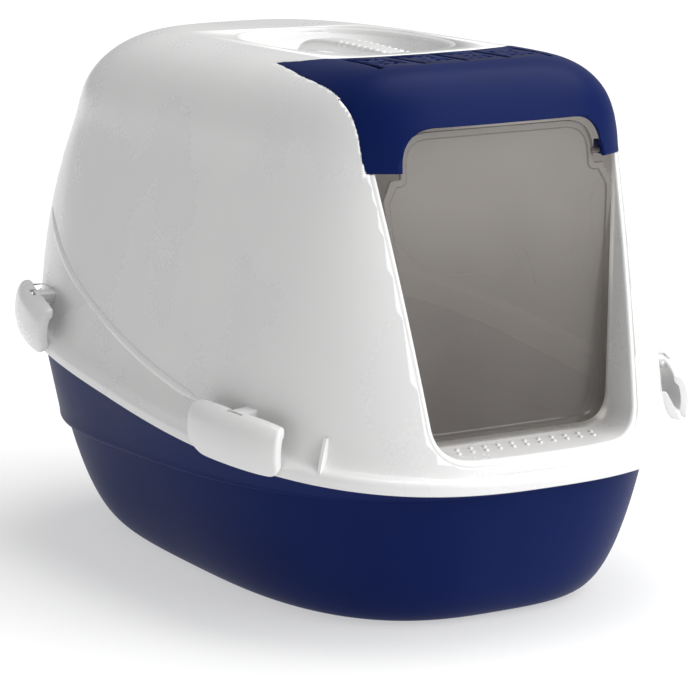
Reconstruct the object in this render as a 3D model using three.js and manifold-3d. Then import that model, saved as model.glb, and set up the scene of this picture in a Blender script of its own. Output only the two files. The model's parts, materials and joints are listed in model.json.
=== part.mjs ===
// A cat litter box: an open tray, a clip-on hood with a swinging door, a vented
// front cover over a carbon filter, a carry handle and four clips on the rim.
// Millimetres, +Z up, doorway facing -Y, origin under the middle of the rim outline.

import * as THREE from 'three';
import { mergeVertices } from 'three/addons/utils/BufferGeometryUtils.js';
import Module from 'manifold-3d';

const wasm = await Module();
wasm.setup();

// ---------------------------------------------------------------- driving sizes

const rimLength = 560;          // over the hood's flange, front to back
const rimWidth = 410;           // over the hood's flange, side to side
const rimHeight = 139;          // parting line above the ground, at mid length
const rimRise = 56;             // the parting line rises this much from front to back
const rimSlope = rimRise / rimLength;
const hoodTop = 392;            // hood's top plate at mid length
const topSlope = -0.03;         // the top plate falls slightly towards the back
const wall = 3;                 // hood wall
const trayWall = 2.6;
const trayFloor = 3;
const around = 52;              // facets around tray and hood, a multiple of four

const flangeHeight = 12;        // hood flange, from parting line to the foot of the wall
const lipThickness = 4;         // tray's outward lip
const skirt = 2.5;              // flange skirt that hides the tray's lip
const fitClearance = 0.8;       // sideways play between hood and tray
const gap = 0.35;               // between faces that touch
const ribDepth = 8;             // drip rib that stands inside the tray
const ribWall = 2.5;

const ledgeHeight = 89;         // styling ledge round the tray, at mid length
const ledgeFall = 33.6;         // and the ledge falls this much
const ledgeSlope = -ledgeFall / rimLength;
const footInset = { side: 81, front: 79, rear: 78 };
const ledgeInset = { side: 32, front: 20, rear: 31 };
const bandInset = { side: 25, front: 17, rear: 24 };
const trayInset = { side: 12, front: 12, rear: 12 };

const baseInset = { side: 12, front: 6, rear: 9 };       // foot of the hood wall
const shoulderInset = { side: 61, front: 66, rear: 26 }; // start of the rounded shoulder
const shoulderRound = { side: 65, front: 51, rear: 70 }; // how far the shoulder runs in
const shoulderRise = 65;
const rearBulge = 14;

const doorBandTop = 43;         // hood left beside the doorway at the shoulder
const doorBandFoot = 108;       // and at the foot of the wall
const sillHeight = 23;          // sill above the parting line at the front
const sillCorner = 26;
const doorDepth = 76;           // depth of the door frame, from the foot of the front wall
const frameWall = 3;

const visorThickness = 2.2;
const visorRear = 104;          // rear edge at the middle, from the middle of the box
const visorHorn = 44;           // how far the rear corners run back past that
const visorEdge = 9;            // half width past the doorway's
const earHeight = 2;            // bottom of the ears above the shoulder's start
const archRise = 30;            // top of the arch above the ears' bottoms
const archInset = 14;           // arch edge in from the doorway's side
const archRound = 26;           // its upper corners
const seatLedge = 9;

const pinRadius = 2.5;
const pinPlay = 0.4;
const pinSetBack = 15;          // pin axis behind the front of the shoulder
const flapThickness = 2.4;
const flapPlay = 2;
const flapLean = 7;             // degrees forward of upright
const flapSillPlay = 3;
const tabInset = 5;             // upper tab of the flap, in from the arch edge
const shoulderDrop = 8.5;       // flap's shoulders below the pin axis

const slotCount = 5;
const slotPitch = 36;
const slotLength = 50;
const slotWidth = 5;
const slotRear = 5;             // rear end of the slots in front of the cover's rear edge
const holeRadius = 2.2;

const scoopHalfWidth = 64;
const scoopLength = 190;
const scoopDepth = 40;
const scoopFront = 20;          // scoop's front edge behind the cover's rear edge
const gripWidth = 20;
const gripThickness = 10;

const filterWidth = 150;
const filterLength = 42;
const filterThickness = 8;
const filterPlay = 0.8;
const filterAhead = 4;          // filter's middle in front of the middle of the slots
const holderWall = 2;
const holderHook = 20;          // width of the hooks that carry the filter holder

const clipLength = 84;
const clipWall = 3;
const clipAxisHeight = 33;      // clip's hinge rod above the parting line
const clipAxisOut = -6;         // rod across the flange edge; a minus puts it inside
const clipBulge = 9.3;          // how far the plate stands out over the flange edge
const clipFoot = 0;             // clip's foot below the parting line
const clipSteps = 12;
const rodRadius = 2;
const hookWidth = 12;
const clipPlay = 1.6;
const clipPlaces = { front: -155, rear: 152 };

// ---------------------------------------------------------------- solids

function toSolid(geometry) {
  const bare = geometry.clone();
  bare.deleteAttribute('normal');
  bare.deleteAttribute('uv');
  const merged = mergeVertices(bare, 1e-4);
  return new wasm.Manifold(new wasm.Mesh({
    numProp: 3,
    vertProperties: new Float32Array(merged.attributes.position.array),
    triVerts: new Uint32Array(merged.index.array),
  }));
}

function toGeometry(solid) {
  const mesh = solid.getMesh();
  const geometry = new THREE.BufferGeometry();
  geometry.setAttribute('position', new THREE.BufferAttribute(new Float32Array(mesh.vertProperties), 3));
  geometry.setIndex(new THREE.BufferAttribute(new Uint32Array(mesh.triVerts), 1));
  geometry.computeVertexNormals();
  return geometry;
}

// Closed solid through rings of equal count, ends capped by the given flat outline.
function ringSolid(ringList, outlinePoints) {
  const flat = outlinePoints.map(([x, y]) => new THREE.Vector2(x, y));
  const turned = THREE.ShapeUtils.isClockWise(flat);
  const rings = turned ? ringList.map((ring) => [...ring].reverse()) : ringList;
  const capOutline = turned ? flat.reverse() : flat;
  const count = rings[0].length;
  const position = rings.flat().flat();
  const index = [];
  for (let r = 0; r + 1 < rings.length; r += 1) {
    for (let i = 0; i < count; i += 1) {
      const a = r * count + i;
      const b = r * count + (i + 1) % count;
      index.push(a, b, a + count, b, b + count, a + count);
    }
  }
  const caps = THREE.ShapeUtils.triangulateShape(capOutline, []);
  const last = (rings.length - 1) * count;
  for (const [a, b, c] of caps) {
    index.push(c, b, a);
    index.push(last + a, last + b, last + c);
  }
  const geometry = new THREE.BufferGeometry();
  geometry.setAttribute('position', new THREE.BufferAttribute(new Float32Array(position), 3));
  if (facesInward(rings, caps, count)) index.reverse();
  geometry.setIndex(index);
  return toSolid(geometry);
}

// True where the first cap's outward side looks along the body instead of away from it.
function facesInward(rings, caps, count) {
  const middle = (ring) => ring.reduce((sum, p) => sum.add(new THREE.Vector3(...p)), new THREE.Vector3())
    .divideScalar(count);
  const along = middle(rings[rings.length - 1]).sub(middle(rings[0]));
  const [a, b, c] = caps[0].map((i) => new THREE.Vector3(...rings[0][i]));
  const normal = b.clone().sub(a).cross(c.clone().sub(a));
  return normal.dot(along) < 0;
}

// Rounded-rectangle outline: a superellipse with its own half length front and rear.
function outline(section) {
  const points = [];
  for (let i = 0; i < around; i += 1) {
    const angle = (i / around) * 2 * Math.PI;
    const c = Math.cos(angle);
    const s = Math.sin(angle);
    const power = s < 0 ? section.powerFront : section.powerRear;
    const reach = s < 0 ? section.front : section.rear;
    const x = section.side * Math.sign(c) * Math.abs(c) ** (2 / power);
    const y = section.shift + reach * Math.sign(s) * Math.abs(s) ** (2 / power);
    points.push([x, y]);
  }
  return points;
}

// Sections are levels of a body: an outline at a height that may slope along Y.
function loft(sections) {
  const rings = sections.map((section) => {
    const points = outline({ shift: 0, ...section });
    return points.map(([x, y]) => [x, y, section.z + section.slope * y]);
  });
  return ringSolid(rings, outline({ shift: 0, ...sections[0] }));
}

function prismUp(points, low, high) {
  const geometry = new THREE.ExtrudeGeometry(shapeOf(points), { depth: high - low, bevelEnabled: false });
  geometry.translate(0, 0, low);
  return toSolid(geometry);
}

// Points are (x, z); the prism runs along Y.
function prismBack(points, front, back) {
  const geometry = new THREE.ExtrudeGeometry(shapeOf(points), { depth: back - front, bevelEnabled: false });
  geometry.rotateX(Math.PI / 2);
  geometry.translate(0, back, 0);
  return toSolid(geometry);
}

function shapeOf(points) {
  return new THREE.Shape(points.map(([x, y]) => new THREE.Vector2(x, y)));
}

function block(x0, x1, y0, y1, z0, z1) {
  const geometry = new THREE.BoxGeometry(x1 - x0, y1 - y0, z1 - z0);
  geometry.translate((x0 + x1) / 2, (y0 + y1) / 2, (z0 + z1) / 2);
  return toSolid(geometry);
}

function rodAlongX(radius, x0, x1, y, z, sides) {
  const geometry = new THREE.CylinderGeometry(radius, radius, x1 - x0, sides);
  geometry.rotateZ(Math.PI / 2);
  geometry.translate((x0 + x1) / 2, y, z);
  return toSolid(geometry);
}

// Polygon with its corners rounded; radii are listed corner by corner.
function rounded(corners, radii, steps) {
  const points = [];
  corners.forEach(([x, y], i) => {
    const here = new THREE.Vector2(x, y);
    const before = new THREE.Vector2(...corners[(i + corners.length - 1) % corners.length]);
    const after = new THREE.Vector2(...corners[(i + 1) % corners.length]);
    const radius = radii[i];
    if (radius === 0) {
      points.push([x, y]);
      return;
    }
    const toBefore = before.clone().sub(here).normalize();
    const toAfter = after.clone().sub(here).normalize();
    const half = Math.acos(toBefore.dot(toAfter)) / 2;
    const run = radius / Math.tan(half);
    const start = here.clone().addScaledVector(toBefore, run);
    const end = here.clone().addScaledVector(toAfter, run);
    for (let k = 0; k <= steps; k += 1) {
      const t = k / steps;
      const a = start.clone().lerp(here, t);
      const b = here.clone().lerp(end, t);
      const p = a.lerp(b, t);
      points.push([p.x, p.y]);
    }
  });
  return points;
}

// Outline with every side moved outwards by the same distance.
function grown(points, distance) {
  const flat = points.map(([x, y]) => new THREE.Vector2(x, y));
  const turn = THREE.ShapeUtils.isClockWise(flat) ? -1 : 1;
  const normal = (from, to) => new THREE.Vector2(to.y - from.y, from.x - to.x).normalize().multiplyScalar(turn);
  return flat.map((here, i) => {
    const before = normal(flat[(i + flat.length - 1) % flat.length], here);
    const after = normal(here, flat[(i + 1) % flat.length]);
    const bisector = before.clone().add(after).normalize();
    const moved = here.clone().addScaledVector(bisector, distance / Math.max(bisector.dot(before), 0.35));
    return [moved.x, moved.y];
  });
}

function mirrored(points) {
  return points.map(([x, y]) => [-x, y]).reverse();
}

function part(name, solid, colour, roughness, extra = {}) {
  const material = new THREE.MeshStandardMaterial({ color: colour, roughness, metalness: 0, ...extra });
  const mesh = new THREE.Mesh(toGeometry(solid), material);
  mesh.name = name;
  return mesh;
}

// ---------------------------------------------------------------- outlines shared by the pieces

const halfWidth = rimWidth / 2;
const halfLength = rimLength / 2;
const rimPower = { powerFront: 2.69, powerRear: 2.99 };

function inset(amount) {
  return {
    side: halfWidth - amount.side,
    front: halfLength - amount.front,
    rear: halfLength - amount.rear,
  };
}

function evenInset(amount) {
  return { ...inset({ side: amount, front: amount, rear: amount }), ...rimPower };
}

function rimAt(y) {
  return rimHeight + rimSlope * y;
}

// One level of the hood's skin; depth is measured inwards from the outer face.
const wallFoot = rimHeight + flangeHeight;
const shoulderStart = hoodTop - shoulderRise;
const footPower = { powerFront: 2.54, powerRear: 2.95 };
const shoulderPower = { powerFront: 3.9, powerRear: 3.95 };
const topPower = { powerFront: 5.4, powerRear: 3.2 };

function mix(a, b, t) {
  return a + (b - a) * t;
}

function wallSection(t, depth) {
  const foot = inset(baseInset);
  const shoulder = inset(shoulderInset);
  return {
    side: mix(foot.side, shoulder.side, t) - depth,
    front: mix(foot.front, shoulder.front, t) - depth,
    rear: mix(foot.rear, shoulder.rear, t) + rearBulge * 4 * t * (1 - t) - depth,
    powerFront: mix(footPower.powerFront, shoulderPower.powerFront, t),
    powerRear: mix(footPower.powerRear, shoulderPower.powerRear, t),
    z: mix(wallFoot, shoulderStart, t),
    slope: mix(rimSlope, topSlope, t),
  };
}

function shoulderSection(angle, depth) {
  const start = inset(shoulderInset);
  const t = 1 - Math.cos(angle);
  return {
    side: start.side - shoulderRound.side * t - depth * (1 - t),
    front: start.front - shoulderRound.front * t - depth * (1 - t),
    rear: start.rear - shoulderRound.rear * t - depth * (1 - t),
    powerFront: mix(shoulderPower.powerFront, topPower.powerFront, t),
    powerRear: mix(shoulderPower.powerRear, topPower.powerRear, t),
    z: shoulderStart + (shoulderRise - depth) * Math.sin(angle),
    slope: topSlope,
  };
}

function hoodSections(depth) {
  const sections = [];
  for (const t of [0, 0.17, 0.34, 0.5, 0.67, 0.84, 1]) sections.push(wallSection(t, depth));
  for (const degrees of [15, 30, 45, 60, 75, 90]) {
    sections.push(shoulderSection(THREE.MathUtils.degToRad(degrees), depth));
  }
  return sections;
}

function hoodBody(depth) {
  const foot = wallSection(0, depth);
  return loft([{ ...foot, z: foot.z - flangeHeight - 40 }, ...hoodSections(depth)]);
}

// ---------------------------------------------------------------- tray

function trayLevels(depth) {
  const foot = { ...inset(footInset), powerFront: 2.96, powerRear: 2.97 };
  const ledge = { ...inset(ledgeInset), ...rimPower };
  const band = { ...inset(bandInset), ...rimPower };
  const top = { ...inset(trayInset), ...rimPower };
  const under = { z: rimHeight - lipThickness / 2, slope: rimSlope };
  const levels = [];
  const blend = (a, b, t, z, slope) => {
    levels.push({
      side: mix(a.side, b.side, t) - depth,
      front: mix(a.front, b.front, t) - depth,
      rear: mix(a.rear, b.rear, t) - depth,
      powerFront: mix(a.powerFront, b.powerFront, t),
      powerRear: mix(a.powerRear, b.powerRear, t),
      z,
      slope,
    });
  };
  for (const t of [0, 0.02, 0.06, 0.15, 0.32, 0.55, 0.8, 1]) {
    const z = depth > 0 ? Math.max(ledgeHeight * t, trayFloor + 2 * t) : ledgeHeight * t;
    blend(foot, ledge, t ** 0.42, z, ledgeSlope * t);
  }
  for (const [share, t] of [[0.05, 0.7], [0.14, 1]]) {
    blend(ledge, band, t, mix(ledgeHeight, under.z, share), mix(ledgeSlope, under.slope, share));
  }
  blend(band, top, 1, under.z, under.slope);
  return levels;
}

function makeTray() {
  const lipUnder = rimHeight - lipThickness / 2;
  const lipTop = lipUnder + lipThickness;
  const lip = evenInset(skirt + fitClearance);
  const outer = loft([
    ...trayLevels(0),
    { ...lip, z: lipUnder + 0.01, slope: rimSlope },
    { ...lip, z: lipTop, slope: rimSlope },
  ]);
  const levels = trayLevels(trayWall).filter((level, i) => i === 0 || level.z > trayFloor + 0.5);
  const top = levels[levels.length - 1];
  const inner = loft([...levels, { ...top, z: lipTop + 5, slope: rimSlope }]);
  return outer.subtract(inner);
}

// ---------------------------------------------------------------- doorway

const sill = rimAt(-halfLength) + sillHeight;

function doorHalfWidth(z) {
  const foot = inset(baseInset).side - doorBandFoot;
  const shoulder = inset(shoulderInset).side - doorBandTop;
  return mix(foot, shoulder, (z - wallFoot) / (shoulderStart - wallFoot));
}

function doorOutline(grow, top) {
  const low = sill - grow;
  const narrow = doorHalfWidth(low) + grow;
  const wide = doorHalfWidth(top) + grow;
  return rounded(
    [[narrow, low], [wide, top], [-wide, top], [-narrow, low]],
    [sillCorner + grow, 0, 0, sillCorner + grow],
    6,
  );
}

// ---------------------------------------------------------------- front cover outline

const earBottom = shoulderStart + earHeight;
const frontReach = inset(shoulderInset).front;

function visorPlan(grow, horn = visorHorn) {
  const narrow = doorHalfWidth(earBottom);
  const wide = narrow + visorEdge;
  const half = [
    [0, -visorRear],
    [wide * 0.4, -visorRear + horn * 0.05],
    [wide * 0.68, -visorRear + horn * 0.2],
    [wide * 0.84, -visorRear + horn * 0.55],
    [wide - 9, -visorRear + horn],
    [wide - 1, -visorRear + horn - 50],
    [wide, -visorRear + horn - 75],
    [wide - 1, -frontReach + 22],
    [narrow, -frontReach + 2],
    [narrow, -frontReach - 60],
  ];
  return grown([...half, ...mirrored(half.slice(1))], grow);
}

function archOutline() {
  const bottom = earBottom - 60;
  const top = earBottom + archRise;
  const narrow = doorHalfWidth(earBottom) - archInset - 4;
  return rounded(
    [[narrow + 6, bottom], [narrow, top], [-narrow, top], [-narrow - 6, bottom]],
    [0, archRound, archRound, 0],
    5,
  );
}

// ---------------------------------------------------------------- handle scoop

function scoopLevels(grow, rise) {
  const centre = -visorRear + scoopFront + scoopLength / 2;
  const shape = (share, forward, drop, end) => ({
    side: scoopHalfWidth * share + grow,
    front: (scoopLength / 2) * end + grow,
    rear: (scoopLength / 2) * end + grow,
    shift: centre - forward,
    powerFront: 2.4,
    powerRear: 2.4,
    z: hoodTop - drop,
    slope: topSlope,
  });
  const floor = shape(0.5, 24, scoopDepth + grow, 0.46);
  return [
    floor,
    shape(0.66, 22, scoopDepth - 6, 0.58),
    shape(0.82, 18, scoopDepth * 0.55, 0.7),
    shape(0.93, 8, scoopDepth * 0.25, 0.86),
    shape(1, 0, -2, 1),
    { ...shape(1, 0, 0, 1), z: hoodTop + rise },
  ];
}

// ---------------------------------------------------------------- clips

// The flange's outer edge, as a point with its outward and tangent directions.
function rimEdge(angle) {
  const at = (value) => {
    const c = Math.cos(value);
    const s = Math.sin(value);
    const power = s < 0 ? rimPower.powerFront : rimPower.powerRear;
    return new THREE.Vector2(
      halfWidth * Math.sign(c) * Math.abs(c) ** (2 / power),
      halfLength * Math.sign(s) * Math.abs(s) ** (2 / power),
    );
  };
  const point = at(angle);
  const along = at(angle + 1e-3).sub(at(angle - 1e-3)).normalize();
  return { point, along, out: new THREE.Vector2(along.y, -along.x) };
}

// Angle on the right-hand side of the rim whose edge has the wanted y.
function angleAt(y) {
  let low = -Math.PI / 2;
  let high = Math.PI / 2;
  for (let i = 0; i < 40; i += 1) {
    const middle = (low + high) / 2;
    if (rimEdge(middle).point.y < y) low = middle;
    else high = middle;
  }
  return low;
}

function rimFrames(y, length, steps) {
  const frames = [];
  const centre = angleAt(y);
  for (let i = 0; i <= steps; i += 1) {
    const wanted = (i / steps - 0.5) * length;
    let angle = centre;
    const home = rimEdge(centre);
    for (let k = 0; k < 20; k += 1) {
      const here = rimEdge(angle);
      const error = wanted - here.point.clone().sub(home.point).dot(home.along);
      angle += error / 260;
    }
    const edge = rimEdge(angle);
    frames.push({ ...edge, share: i / steps });
  }
  return frames;
}

// Sweeps an (out, up) profile along the rim; the profile may change with the share.
function alongRim(frames, profile) {
  const rings = frames.map((frame) => profile(frame.share).map(([out, up]) => {
    const x = frame.point.x + frame.out.x * out;
    const y = frame.point.y + frame.out.y * out;
    return [x, y, rimAt(y) + up];
  }));
  return ringSolid(rings, profile(0));
}

function clipProfile(share) {
  const end = Math.abs(2 * share - 1) ** 4;
  const bulge = clipBulge - 1.5 * end;
  const top = clipAxisHeight + 4 - 5 * end;
  const foot = -clipFoot + 4 * end;
  const outer = [
    [clipAxisOut + 1, top], [bulge * 0.55, top - 3], [bulge * 0.9, top - 11], [bulge, 15],
    [bulge - 0.9, 9], [bulge - 1.7, foot + 4], [bulge - 2.6, foot],
  ];
  const inner = [
    [bulge - 2.6 - clipWall, foot], [bulge - 1.7 - clipWall, foot + 4], [bulge - 0.9 - clipWall, 9],
    [bulge - clipWall, 15], [bulge * 0.9 - clipWall, top - 11.5], [bulge * 0.55 - clipWall, top - 5],
    [clipAxisOut - 1, top - 3],
  ];
  return [...outer, ...inner];
}

function makeClip(y) {
  const shell = alongRim(rimFrames(y, clipLength, clipSteps), clipProfile);
  const home = rimEdge(angleAt(y));
  const centre = clipAxis(y);
  const notch = placeAlong(new THREE.BoxGeometry(hookWidth + 2 * clipPlay, 13, 16), centre, home);
  const rod = rodGeometry(centre, home, hookWidth + 12);
  return shell.subtract(toSolid(notch)).add(toSolid(rod));
}

function clipAxis(y) {
  const home = rimEdge(angleAt(y));
  const x = home.point.x + home.out.x * clipAxisOut;
  const across = home.point.y + home.out.y * clipAxisOut;
  return new THREE.Vector3(x, across, rimAt(home.point.y) + clipAxisHeight);
}

// Turns geometry built with its length on X and its outward side on -Y to a rim frame.
function placeAlong(geometry, centre, home) {
  const tilt = new THREE.Vector3(home.along.x, home.along.y, rimSlope * home.along.y).normalize();
  const out = new THREE.Vector3(home.out.x, home.out.y, 0);
  const up = new THREE.Vector3().crossVectors(out, tilt).normalize().negate();
  const basis = new THREE.Matrix4().makeBasis(tilt, out.clone().negate(), up);
  if (basis.determinant() < 0) basis.makeBasis(tilt, out.clone().negate(), up.negate());
  geometry.applyMatrix4(basis);
  geometry.translate(centre.x, centre.y, centre.z);
  return geometry;
}

function rodGeometry(centre, home, length) {
  const geometry = new THREE.CylinderGeometry(rodRadius, rodRadius, length, 12);
  geometry.rotateZ(Math.PI / 2);
  return placeAlong(geometry, centre, home);
}

// Lug on the hood wall that holds a clip's rod in a snap bore.
function makeLug(y) {
  const home = rimEdge(angleAt(y));
  const centre = clipAxis(y);
  const reach = 24;
  const lug = new THREE.BoxGeometry(hookWidth, reach, 2 * rodRadius + 3.6);
  lug.translate(0, reach / 2 - rodRadius - 2.2, 0);
  const bore = new THREE.CylinderGeometry(rodRadius + pinPlay, rodRadius + pinPlay, hookWidth + 2, 12);
  bore.rotateZ(Math.PI / 2);
  return toSolid(placeAlong(lug, centre, home)).subtract(toSolid(placeAlong(bore, centre, home)));
}

function bothSides(solid) {
  return solid.add(solid.mirror([1, 0, 0]));
}

// ---------------------------------------------------------------- hood

function flangeSections() {
  const level = (amount, up) => ({ ...evenInset(amount), z: rimHeight + up, slope: rimSlope });
  return [level(0, 0), level(0, 4.5), level(1.2, 7), level(4, 9.6), level(8.2, 11.2)];
}

// The drip rib hangs inside the tray: clear of its sloping wall, and in front of its ledge.
function ribLevel(depth) {
  const taper = (bandInset.side - trayInset.side) / (rimHeight - ledgeHeight);
  const side = trayInset.side + trayWall + ribDepth * taper * 1.3 + fitClearance + depth;
  const front = ledgeInset.front + trayWall + 2 * fitClearance + depth + 1.5;
  return { ...inset({ side, front, rear: side }), ...rimPower, slope: rimSlope };
}

function makeHood() {
  const outer = loft([...flangeSections(), ...hoodSections(0)]);
  const foot = wallSection(0, wall);
  const rib = ribLevel(0);
  const throat = ribLevel(ribWall);
  const inner = loft([
    { ...throat, z: rimHeight - 30, slope: rimSlope },
    { ...throat, z: rimHeight + flangeHeight - 1, slope: rimSlope },
    { ...foot, z: foot.z + 2 },
    ...hoodSections(wall).slice(1),
  ]);
  const lipTop = rimHeight + lipThickness / 2 + gap;
  const seat = loft([
    { ...evenInset(skirt), z: rimHeight - 5, slope: rimSlope },
    { ...evenInset(skirt), z: lipTop, slope: rimSlope },
  ]);
  const ribSolid = loft([
    { ...rib, z: rimHeight - ribDepth, slope: rimSlope },
    { ...rib, z: lipTop + 3, slope: rimSlope },
  ]);
  const frame = prismBack(doorOutline(frameWall, earBottom + 20), -halfLength, frameBack())
    .intersect(outer);
  let hood = outer.subtract(seat).add(ribSolid).subtract(inner).add(frame);
  for (const y of Object.values(clipPlaces)) {
    hood = hood.add(bothSides(makeLug(y).subtract(hoodBody(wall / 2))));
  }
  const doorway = prismBack(doorOutline(0, earBottom + 48), -halfLength - 20, pin.y + 45);
  hood = hood.subtract(doorway);

  // Seat for the front cover: an opening of its outline, with a sunk ledge round the edge.
  const step = visorThickness + gap;
  const above = earBottom - gap;
  const reach = (grow, horn) => prismUp(visorPlan(grow, horn), above, hoodTop + 40);
  const ledge = hoodBody(step).subtract(hoodBody(step + wall)).intersect(reach(wall));
  hood = hood.subtract(reach(gap));
  hood = hood.add(ledge.subtract(reach(-seatLedge, 0)).subtract(doorway));

  const scoop = loft(scoopLevels(0, 30));
  const scoopShell = loft(scoopLevels(wall, 30)).intersect(outer);
  hood = hood.add(scoopShell).subtract(scoop);
  return hood;
}

function frameBack() {
  return -inset(baseInset).front + doorDepth;
}

// ---------------------------------------------------------------- front cover

const filterTop = hoodTop - 12;
const slotY = -visorRear - slotRear - slotLength / 2;
const filterY = slotY - filterAhead;
const pin = { y: -frontReach + pinSetBack, z: earBottom + 3 };

function makeVisor() {
  const outer = hoodBody(0);
  let visor = outer.subtract(hoodBody(visorThickness))
    .intersect(prismUp(visorPlan(0), earBottom, hoodTop + 40))
    .subtract(prismBack(archOutline(), -halfLength - 20, -visorRear - 45));
  const inner = doorHalfWidth(earBottom) - archInset;
  const socketWidth = archInset - seatLedge - 2 * gap;
  const ear = block(inner, inner + socketWidth, pin.y - 8, pin.y + 4, pin.z - 3, pin.z + 7)
    .intersect(outer);
  const bore = rodAlongX(pinRadius + pinPlay, inner - 4, inner + socketWidth + 1, pin.y, pin.z, 16);
  visor = visor.add(bothSides(ear)).subtract(bothSides(bore));
  visor = visor.add(bothSides(makeHolderHook().intersect(outer)));
  for (let i = 0; i < slotCount; i += 1) {
    const x = (i - (slotCount - 1) / 2) * slotPitch;
    const cut = new THREE.CapsuleGeometry(slotWidth / 2, slotLength - slotWidth, 3, 8);
    cut.scale(1, 1, 8);
    cut.translate(x, slotY, hoodTop);
    visor = visor.subtract(toSolid(cut));
  }
  for (let i = 0; i + 1 < slotCount; i += 1) {
    const middle = (i + 0.5 - (slotCount - 1) / 2) * slotPitch;
    for (const [dx, dy] of ventHoles()) {
      const hole = new THREE.CylinderGeometry(holeRadius, holeRadius, 40, 6);
      hole.rotateX(Math.PI / 2);
      hole.translate(middle + dx, slotY + dy, hoodTop);
      visor = visor.subtract(toSolid(hole));
    }
  }
  return visor;
}

// Hook under the cover that reaches round one end of the filter holder.
function makeHolderHook() {
  const side = filterWidth / 2 + filterPlay + holderWall + gap;
  const under = filterTop - filterThickness - holderWall - 2 * gap;
  const front = filterY - holderHook / 2;
  const back = filterY + holderHook / 2;
  const post = block(side, side + 2, front, back, under - 2, hoodTop + 20);
  return post.add(block(side - 3, side + 2, front, back, under - 2, under));
}

// Staggered rows of small holes between two slots.
function ventHoles() {
  const holes = [];
  for (const row of [-1, 0, 1]) {
    for (const column of row === 0 ? [-0.5, 0.5] : [-1, 0, 1]) holes.push([column * 8, row * 13]);
  }
  return holes;
}

// ---------------------------------------------------------------- flap

function flapHalfWidth(z) {
  return doorHalfWidth(z) - flapPlay;
}

function makeFlap() {
  const inner = doorHalfWidth(earBottom) - archInset;
  const tab = inner - tabInset;
  const top = earBottom + archRise - tabInset + 1 - pin.z;
  const neck = -shoulderDrop;
  const low = sill + flapSillPlay - pin.z;
  const corner = -shoulderDrop - 14;
  const wide = flapHalfWidth(pin.z + corner);
  const foot = flapHalfWidth(pin.z + low);
  const right = [[foot, low], [wide, corner], [inner + 3.5, neck], [tab, neck], [tab, top]];
  const left = right.map(([x, z]) => [-x, z]).reverse();
  const edge = rounded([...right, ...left], [24, 5, 1.5, 0, archRound - 3, archRound - 3, 0, 1.5, 5, 24], 4);
  const panel = prismBack(edge, -flapThickness / 2, flapThickness / 2);
  const stub = rodAlongX(pinRadius, tab - 4, inner + 4, 0, 0, 12);
  return panel.add(bothSides(stub));
}

// ---------------------------------------------------------------- handle

function makeHandle() {
  const rear = -visorRear + scoopFront + scoopLength;
  const front = -visorRear + scoopFront;
  const path = [
    [rear - 40, hoodTop - 36], [rear - 40, hoodTop - 24], [rear - 44, hoodTop - 15],
    [rear - 56, hoodTop - 9.5], [rear - 85, hoodTop - 6], [(rear + front) / 2 - 20, hoodTop - 4.5],
    [front + 30, hoodTop - 5], [front + 4, hoodTop - 9], [front - 8, hoodTop - 12],
  ];
  const curve = new THREE.CatmullRomCurve3(path.map(([y, z]) => new THREE.Vector3(0, y, z)));
  const rings = [];
  const section = rounded(
    [[-gripWidth / 2, -gripThickness / 2], [gripWidth / 2, -gripThickness / 2],
      [gripWidth / 2, gripThickness / 2], [-gripWidth / 2, gripThickness / 2]],
    [4, 4, 4, 4],
    2,
  );
  const steps = 26;
  for (let i = 0; i <= steps; i += 1) {
    const point = curve.getPointAt(i / steps);
    const tangent = curve.getTangentAt(i / steps);
    rings.push(section.map(([x, up]) => [x, point.y + tangent.z * up, point.z - tangent.y * up]));
  }
  return ringSolid(rings, section).intersect(loft(scoopLevels(-gap, 30)));
}

// ---------------------------------------------------------------- filter

function makeFilter() {
  const y0 = filterY - filterLength / 2;
  return block(-filterWidth / 2, filterWidth / 2, y0, y0 + filterLength, filterTop - filterThickness, filterTop);
}

// Open tray under the cover; its walls rise to the cover's underside.
function makeFilterHolder() {
  const half = filterWidth / 2 + filterPlay;
  const y0 = filterY - filterLength / 2 - filterPlay;
  const y1 = y0 + filterLength + 2 * filterPlay;
  const under = filterTop - filterThickness - gap;
  const outer = block(-half - holderWall, half + holderWall, y0 - holderWall, y1 + holderWall,
    under - holderWall, hoodTop + 20);
  let holder = outer.intersect(hoodBody(visorThickness + gap));
  holder = holder.subtract(block(-half, half, y0, y1, under, hoodTop + 30));
  const bars = 9;
  const pitch = (2 * half) / bars;
  for (let i = 0; i < bars; i += 1) {
    const x = -half + (i + 0.5) * pitch;
    holder = holder.subtract(block(x - pitch * 0.36, x + pitch * 0.36, y0 + 4, y1 - 4, under - 5, under + 1));
  }
  return holder;
}

// ---------------------------------------------------------------- assembly

const white = 0xf2f2f0;
const navy = 0x1c2a66;

const box = new THREE.Group();
box.add(part('base_tray', makeTray(), navy, 0.45));

const hoodGroup = new THREE.Group();
hoodGroup.add(part('hood_shell', makeHood(), white, 0.3));
hoodGroup.add(part('front_cover', makeVisor(), navy, 0.4));
hoodGroup.add(part('carry_handle', makeHandle(), white, 0.3));
hoodGroup.add(part('filter_holder', makeFilterHolder(), white, 0.4));
hoodGroup.add(part('carbon_filter', makeFilter(), 0x2a2a2c, 0.95));

const flap = part('flap_door', makeFlap(), 0x8f8780, 0.2, { transparent: true, opacity: 0.55 });
flap.position.set(0, pin.y, pin.z);
flap.rotation.x = -THREE.MathUtils.degToRad(flapLean);
hoodGroup.add(flap);

for (const [place, y] of Object.entries(clipPlaces)) {
  const right = makeClip(y);
  hoodGroup.add(part(`clip_${place}_right`, right, white, 0.3));
  hoodGroup.add(part(`clip_${place}_left`, right.mirror([1, 0, 0]), white, 0.3));
}

box.add(hoodGroup);

export default box;
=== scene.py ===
import json
from math import cos, pi, radians, sin, sqrt

import bmesh
import bpy
from mathutils import Matrix, Vector
from mathutils.bvhtree import BVHTree


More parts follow.
